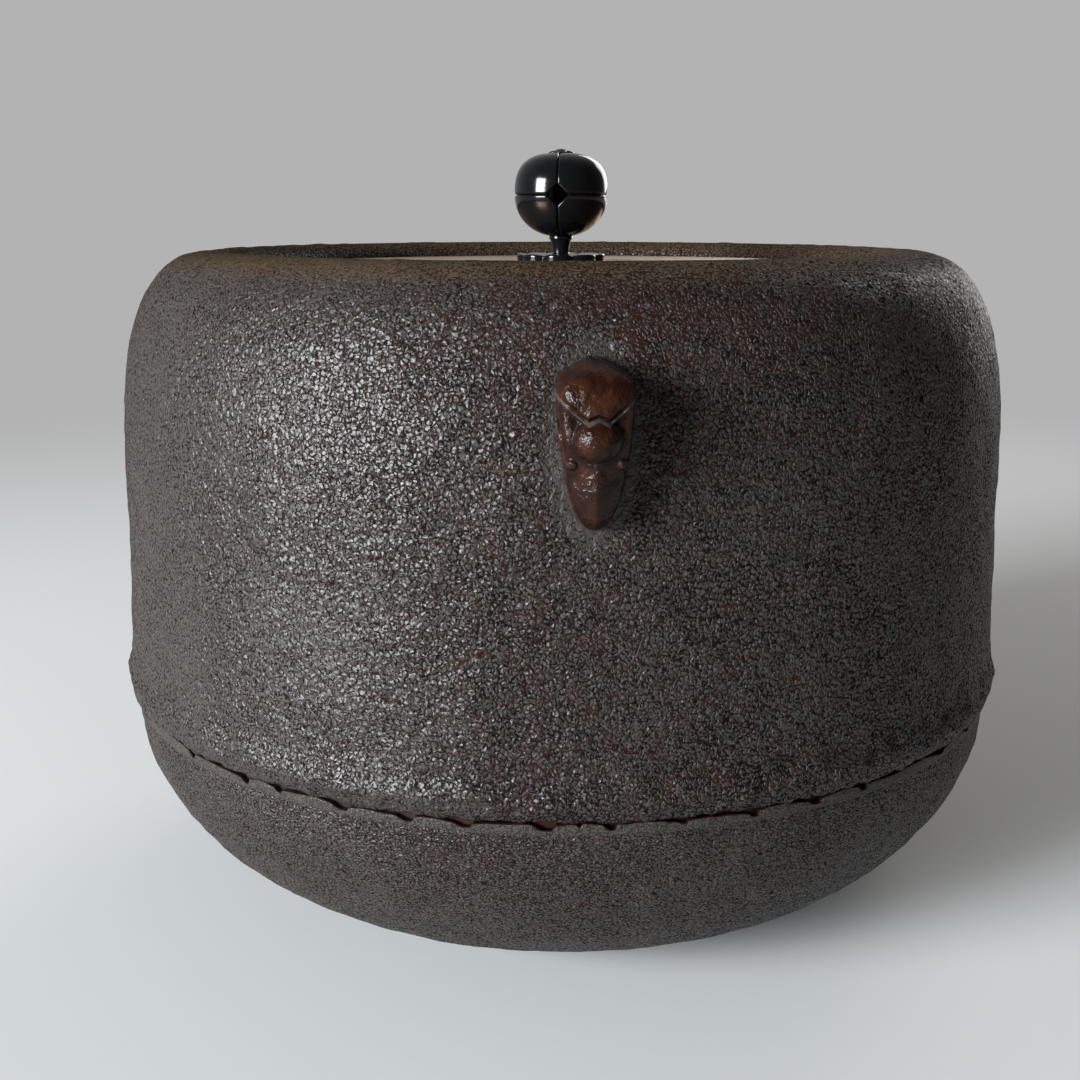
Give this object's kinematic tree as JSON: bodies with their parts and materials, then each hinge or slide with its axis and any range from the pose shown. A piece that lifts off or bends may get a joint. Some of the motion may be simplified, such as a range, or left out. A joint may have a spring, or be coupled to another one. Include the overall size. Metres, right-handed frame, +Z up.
{
  "type": "tea kettle",
  "caption": "Broad-shouldered cast-iron tea kettle with a sunken lift-off bronze lid, a pierced round knob, mask-shaped ring lugs and a round bottom set in along a notched seam.",
  "frame": {"origin": "centre of the flat base, on the surface that the kettle stands on", "axes": "+Z up along the kettle's axis, +Y through the rear ring lug, +X to the right as the picture shows it"},
  "size_m": [0.2645, 0.2874, 0.2174],
  "materials": {
    "barrel_iron": "rough pebbled casting skin, dark brown",
    "pan_iron": "fine-grained casting skin, dark brown",
    "lug_iron": "smooth worn casting, red-brown, semi-gloss",
    "lacquer": "dark red-brown lacquer",
    "putty": "grey-brown iron putty",
    "lid_bronze": "smooth polished bronze",
    "knob_black": "high-gloss black"
  },
  "bodies": {
    "kettle": {"kettle_body": "barrel_iron", "bottom_pan": "pan_iron", "seam_lacquer": "lacquer", "seam_putty": "putty", "ring_lug_front": "lug_iron", "ring_lug_rear": "lug_iron", "sound_plate_1": "pan_iron", "sound_plate_2": "pan_iron", "sound_plate_3": "pan_iron", "lacquer_dab_1": "lacquer", "lacquer_dab_2": "lacquer", "lacquer_dab_3": "lacquer"},
    "lid": {"lid_plate": "lid_bronze", "knob_seat": "knob_black", "knob_collar": "knob_black", "knob_lower_shell": "knob_black", "knob_upper_shell": "knob_black", "knob_cap": "knob_black", "knob_shank": "knob_black", "shank_washer": "lid_bronze"}
  },
  "joints": [
    {"name": "lid_lift", "type": "slide", "parent": "kettle", "child": "lid", "axis": [0, 0, 1], "range_m": [0, 0.18]}
  ]
}
